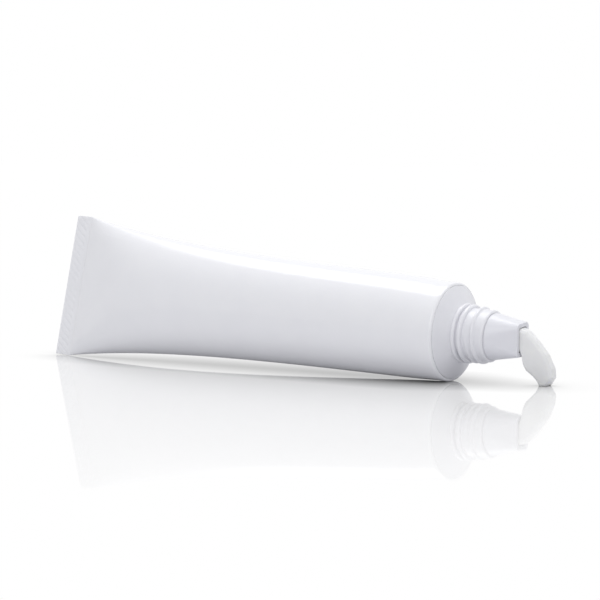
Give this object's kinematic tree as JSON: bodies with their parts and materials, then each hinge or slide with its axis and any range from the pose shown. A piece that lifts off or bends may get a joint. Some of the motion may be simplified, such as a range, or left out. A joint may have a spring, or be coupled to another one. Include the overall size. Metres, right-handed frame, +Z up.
{
  "type": "toothpaste tube",
  "caption": "Flat-tipped laminate paste tube on its side, with sealed tail, screw neck, nozzle and a ribbon of squeezed-out paste.",
  "frame": {"origin": "middle of the whole box at the level of the surface that the tube lies on", "axes": "+X runs along the tube from the seal to the nozzle, +Z is up"},
  "size_m": [0.2112, 0.035, 0.054],
  "materials": {
    "sleeve_laminate": "gloss",
    "head_polyethylene": "satin",
    "nozzle_polyethylene": "satin",
    "paste": "moist satin"
  },
  "bodies": {
    "root": {"sleeve": "sleeve_laminate", "head": "head_polyethylene", "nozzle": "nozzle_polyethylene", "paste": "paste"}
  },
  "joints": []
}
